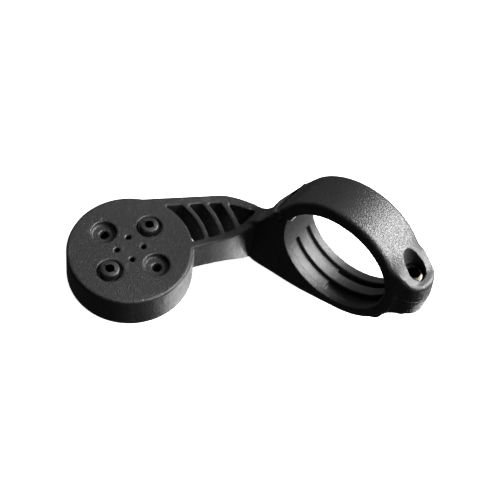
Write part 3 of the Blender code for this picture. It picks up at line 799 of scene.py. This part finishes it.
# %% The grain that a spark-eroded mould leaves
def mould_grain():
    """Height and mottling of a fine moulded texture, in metres of object space."""
    tree, source, target = group("mould_grain", [("Vector", "NodeSocketVector", None),
                                                 ("Grain per metre", "NodeSocketFloat", 2600.0)],
                                 [("Height", "NodeSocketFloat"), ("Mottle", "NodeSocketFloat")])
    coarse = add_node(tree, "ShaderNodeTexNoise", {"Detail": 3.0, "Roughness": 0.62})
    cells = add_node(tree, "ShaderNodeTexVoronoi", feature="SMOOTH_F1", values={"Smoothness": 0.6})
    cloud = add_node(tree, "ShaderNodeTexNoise", {"Scale": 190.0, "Detail": 4.0, "Roughness": 0.6})
    speckle = add_node(tree, "ShaderNodeMapRange", {"From Min": 0.38, "From Max": 0.62})
    blend = add_node(tree, "ShaderNodeMix", {0: 0.7}, data_type="FLOAT")
    finer = add_node(tree, "ShaderNodeMath", {1: 1.7}, operation="MULTIPLY")
    both = add_node(tree, "ShaderNodeMath", {1: 0.55}, operation="MULTIPLY")
    total = add_node(tree, "ShaderNodeMath", operation="ADD")
    wire(tree, (source.outputs["Vector"], coarse.inputs["Vector"]),
         (source.outputs["Vector"], cells.inputs["Vector"]),
         (source.outputs["Vector"], cloud.inputs["Vector"]),
         (source.outputs["Grain per metre"], coarse.inputs["Scale"]),
         (source.outputs["Grain per metre"], finer.inputs[0]), (finer.outputs[0], cells.inputs["Scale"]),
         (cells.outputs["Distance"], both.inputs[0]), (coarse.outputs["Fac"], total.inputs[0]),
         (both.outputs[0], total.inputs[1]), (total.outputs[0], target.inputs["Height"]),
         (coarse.outputs["Fac"], speckle.inputs["Value"]), (cloud.outputs["Fac"], blend.inputs[2]),
         (speckle.outputs[0], blend.inputs[3]), (blend.outputs[0], target.inputs["Mottle"]))
    return tree


def edge_highlight_and_rub():
    """A mask of the convex edges, broken up by noise: it paints a highlight on them by lightening their
    colour, and lowers their roughness where a moulded part is rubbed smooth.
    """
    tree, source, target = group("edge_highlight_and_rub", [("Vector", "NodeSocketVector", None),
                                              ("Amount", "NodeSocketFloat", 0.5)],
                                 [("Mask", "NodeSocketFloat")])
    shape = add_node(tree, "ShaderNodeNewGeometry")
    pick = add_node(tree, "ShaderNodeMapRange", {"From Min": 0.54, "From Max": 0.62})
    patch = add_node(tree, "ShaderNodeTexNoise", {"Scale": 420.0, "Detail": 5.0, "Roughness": 0.65})
    spread = add_node(tree, "ShaderNodeMapRange", {"From Min": 0.2, "From Max": 0.5})
    product = add_node(tree, "ShaderNodeMath", operation="MULTIPLY")
    level = add_node(tree, "ShaderNodeMath", operation="MULTIPLY")
    wire(tree, (shape.outputs["Pointiness"], pick.inputs["Value"]),
         (source.outputs["Vector"], patch.inputs["Vector"]),
         (patch.outputs["Fac"], spread.inputs["Value"]), (pick.outputs[0], product.inputs[0]),
         (spread.outputs[0], product.inputs[1]), (product.outputs[0], level.inputs[0]),
         (source.outputs["Amount"], level.inputs[1]), (level.outputs[0], target.inputs["Mask"]))
    return tree


GRAIN = mould_grain()
EDGE_HIGHLIGHT_AND_RUB = edge_highlight_and_rub()


# %% Black nylon
GRAIN_DEPTH = 0.2 * MM


def nylon(name, dark, light, rough, grain, bump, edge_light_and_rub):
    surface, tree, shader = new_finish(name)
    place = add_node(tree, "ShaderNodeTexCoord")
    skin = use_group(tree, GRAIN, Grain_per_metre=grain)
    edge_light_and_rub_mask = use_group(tree, EDGE_HIGHLIGHT_AND_RUB, Amount=edge_light_and_rub)
    tone = add_node(tree, "ShaderNodeMix", data_type="RGBA")
    tone.inputs["A"].default_value, tone.inputs["B"].default_value = (*dark, 1), (*light, 1)
    # Painted highlight: the convex-edge mask mixes in a colour 2.6 times the light tone in place of the light
    # those edges catch; the same mask lowers their roughness, as rubbing does.
    painted_edge_highlight = add_node(tree, "ShaderNodeMix", data_type="RGBA")
    painted_edge_highlight.inputs["B"].default_value = (*[c * 2.6 for c in light], 1)
    sheen = add_node(tree, "ShaderNodeMapRange", {"From Min": 0.3, "From Max": 0.7,
                                                  "To Min": rough + 0.08, "To Max": rough - 0.06})
    rubbed = add_node(tree, "ShaderNodeMapRange", {"From Max": 1.0, "To Max": -0.14})
    total = add_node(tree, "ShaderNodeMath", operation="ADD")
    raised = add_node(tree, "ShaderNodeBump", {"Strength": bump, "Distance": GRAIN_DEPTH})
    wire(tree, (place.outputs["Object"], skin.inputs["Vector"]),
         (place.outputs["Object"], edge_light_and_rub_mask.inputs["Vector"]),
         (skin.outputs["Mottle"], tone.inputs["Factor"]), (tone.outputs["Result"], painted_edge_highlight.inputs["A"]),
         (edge_light_and_rub_mask.outputs["Mask"], painted_edge_highlight.inputs["Factor"]), (painted_edge_highlight.outputs["Result"], shader.inputs["Base Color"]),
         (skin.outputs["Mottle"], sheen.inputs["Value"]), (sheen.outputs[0], total.inputs[0]),
         (edge_light_and_rub_mask.outputs["Mask"], rubbed.inputs["Value"]), (rubbed.outputs[0], total.inputs[1]),
         (total.outputs[0], shader.inputs["Roughness"]), (skin.outputs["Height"], raised.inputs["Height"]),
         (raised.outputs["Normal"], shader.inputs["Normal"]))
    shader.inputs["IOR"].default_value = 1.53
    return surface


SOOT, CHARCOAL = (0.006, 0.006, 0.0062), (0.026, 0.026, 0.0272)
SOCKET_DARK, SOCKET_LIGHT = (0.012, 0.012, 0.0125), (0.02, 0.02, 0.021)
body_nylon = nylon("moulded_nylon_body", SOOT, CHARCOAL, 0.38, 2600.0, 0.7, 0.5)
cap_nylon = nylon("moulded_nylon_cap", SOOT, CHARCOAL, 0.36, 2600.0, 0.7, 0.5)
socket_nylon = nylon("moulded_nylon_socket", SOCKET_DARK, SOCKET_LIGHT, 0.38, 3400.0, 0.2, 0.3)


# %% Turned metal
def turned_metal(name, tone, stain, rough, centre, axis="Z", rings=9000.0):
    """Metal with the fine rings of a turning tool about the piece's own axis."""
    surface, tree, shader = new_finish(name)
    place = add_node(tree, "ShaderNodeTexCoord")
    turn = (math.pi / 2, 0, 0) if axis == "Y" else (0, 0, 0)
    shift = tuple(-c for c in centre) if axis == "Z" else (-centre[0], centre[2], -centre[1])
    centred = add_node(tree, "ShaderNodeMapping", {"Location": shift, "Rotation": turn})
    lines = add_node(tree, "ShaderNodeTexWave", {"Scale": rings / 20, "Distortion": 0.6, "Detail": 2.0,
                                                 "Detail Scale": 2.0},
                     wave_type="RINGS", rings_direction="Z")
    cloud = add_node(tree, "ShaderNodeTexNoise", {"Scale": 900.0, "Detail": 5.0, "Roughness": 0.6})
    mix = add_node(tree, "ShaderNodeMix", data_type="RGBA")
    mix.inputs["A"].default_value, mix.inputs["B"].default_value = (*tone, 1), (*stain, 1)
    sheen = add_node(tree, "ShaderNodeMapRange", {"From Min": 0.3, "From Max": 0.7,
                                                  "To Min": rough - 0.07, "To Max": rough + 0.1})
    raised = add_node(tree, "ShaderNodeBump", {"Strength": 0.18, "Distance": 0.00003})
    shader.inputs["Metallic"].default_value = 1.0
    wire(tree, (place.outputs["Object"], centred.inputs["Vector"]),
         (centred.outputs[0], lines.inputs["Vector"]),
         (place.outputs["Object"], cloud.inputs["Vector"]), (cloud.outputs["Fac"], mix.inputs["Factor"]),
         (mix.outputs["Result"], shader.inputs["Base Color"]), (cloud.outputs["Fac"], sheen.inputs["Value"]),
         (sheen.outputs[0], shader.inputs["Roughness"]), (lines.outputs["Fac"], raised.inputs["Height"]),
         (raised.outputs["Normal"], shader.inputs["Normal"]))
    return surface


GREY, DULL = (0.21, 0.208, 0.205), (0.12, 0.118, 0.115)
BRIGHT, WARM = (0.26, 0.25, 0.22), (0.12, 0.105, 0.08)
rear_steel = turned_metal("rear_screw_steel", GREY, DULL, 0.36, centre_of("socket_screw_rear"))
front_steel = turned_metal("front_screw_steel", GREY, DULL, 0.36, centre_of("socket_screw_front"))
bolt_steel = turned_metal("clamp_bolt_steel", BRIGHT, WARM, 0.22, centre_of("clamp_bolt"))
pin_steel = turned_metal("hinge_pin_steel", (0.2, 0.2, 0.2), (0.1, 0.1, 0.1), 0.42, PIN, "Y")
brass = turned_metal("insert_brass_finish", (0.66, 0.47, 0.2), (0.42, 0.28, 0.11), 0.32, BOLT)

# %% [markdown]
# ## Hand the pieces to the frame
#
# Each piece rides on its own body, an empty named for it, and stands in for its node, which is
# hidden.

# %% Ride, replace and paint
for piece, node, rides_on, slot_name, finish in (
        (body, "mount_body", "mount", "body_nylon", body_nylon),
        (cap, "clamp_cap", "cap", "cap_nylon", cap_nylon),
        (socket, "quarter_turn_socket", "mount", "socket_nylon", socket_nylon),
        (rear, "socket_screw_rear", "rear_screw", "screw_steel", rear_steel),
        (front, "socket_screw_front", "front_screw", "screw_steel", front_steel),
        (bolt, "clamp_bolt", "bolt", "bolt_steel", bolt_steel),
        (insert, "threaded_insert", "mount", "insert_brass", brass),
        (pin, "hinge_pin", "mount", "pin_steel", pin_steel)):
    piece.data.materials.clear()
    piece.data.materials.append(finish)
    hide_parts(node)
    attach(piece, rides_on)

# %% [markdown]
# ## Floor, light and camera
#
# The floor is a plain pale sheet that gives no light to the object. One strong softbox stands behind
# and to the right and draws the long highlight over the cap. Weak boxes at the side, overhead and at
# the left fill in, and two low cards lift the sides that face the floor.

# %% The floor
FLOOR_HALF = 0.9
shape = bmesh.new()
bmesh.ops.create_grid(shape, x_segments=1, y_segments=1, size=FLOOR_HALF)
bmesh.ops.translate(shape, verts=shape.verts, vec=(0, 0, cad_box[0][2] - 0.05 * MM))
floor = to_object("floor", shape)
paper, _, paper_shader = new_finish("pale_paper")
paper_shader.inputs["Base Color"].default_value = (0.93, 0.93, 0.93, 1)
paper_shader.inputs["Roughness"].default_value = 0.9
paper_shader.inputs["Emission Color"].default_value = (1, 1, 1, 1)
paper_shader.inputs["Emission Strength"].default_value = 0.98
floor.data.materials.append(paper)
floor.visible_diffuse = False
floor.visible_glossy = False
floor.visible_shadow = False


# %% Lights
CENTRE = Vector((-18.0, -22.0, -4.0)) * MM


def softbox(name, toward, distance, size, power):
    """A square area light on the line from the object toward a heading, facing the object."""
    lamp = bpy.data.lights.new(name, "AREA")
    lamp.shape = "SQUARE"
    lamp.size = size
    lamp.energy = power
    item = bpy.data.objects.new(name, lamp)
    away = Vector(toward).normalized()
    item.location = CENTRE + away * distance
    item.rotation_euler = away.to_track_quat("Z", "Y").to_euler()
    bpy.context.scene.collection.objects.link(item)
    return item


ROOM_GLOW = 0.03
LIGHTS = (("key_softbox", (0.63, 0.57, 0.53), 0.6, 0.36, 16.0),
          ("side_softbox", (0.85, 0.05, 0.5), 0.6, 0.3, 0.8),
          ("overhead", (-0.2, 0.4, 0.9), 0.6, 0.45, 0.25),
          ("low_right_card", (0.3, 0.42, -0.86), 0.5, 0.16, 0.8),
          ("low_left_card", (-0.27, 0.46, -0.85), 0.5, 0.2, 0.5),
          ("left_fill", (-0.9, 0.38, 0.1), 0.7, 0.4, 0.4))
for light in LIGHTS:
    softbox(*light)
world = bpy.data.worlds.new("studio")
world.use_nodes = True
world.node_tree.nodes["Background"].inputs["Color"].default_value = (1, 1, 1, 1)
world.node_tree.nodes["Background"].inputs["Strength"].default_value = ROOM_GLOW
bpy.context.scene.world = world
bpy.context.scene.view_settings.view_transform = "Standard"

# %% The camera
EYE = Vector((39.587, -127.534, 185.817)) * MM
HEADING = math.radians(28.11)
ELEVATION = math.radians(56.32)
ROLL = math.radians(12.16)
lens = bpy.data.cameras.new("camera")
lens.lens = 61.22
lens.sensor_width = 36.0
lens.clip_start = 0.01
eye = bpy.data.objects.new("camera", lens)
aim = Matrix.Rotation(HEADING, 4, "Z") @ Matrix.Rotation(math.pi / 2 - ELEVATION, 4, "X") \
    @ Matrix.Rotation(ROLL, 4, "Z")
eye.matrix_world = Matrix.Translation(EYE) @ aim
bpy.context.scene.collection.objects.link(eye)
bpy.context.scene.camera = eye
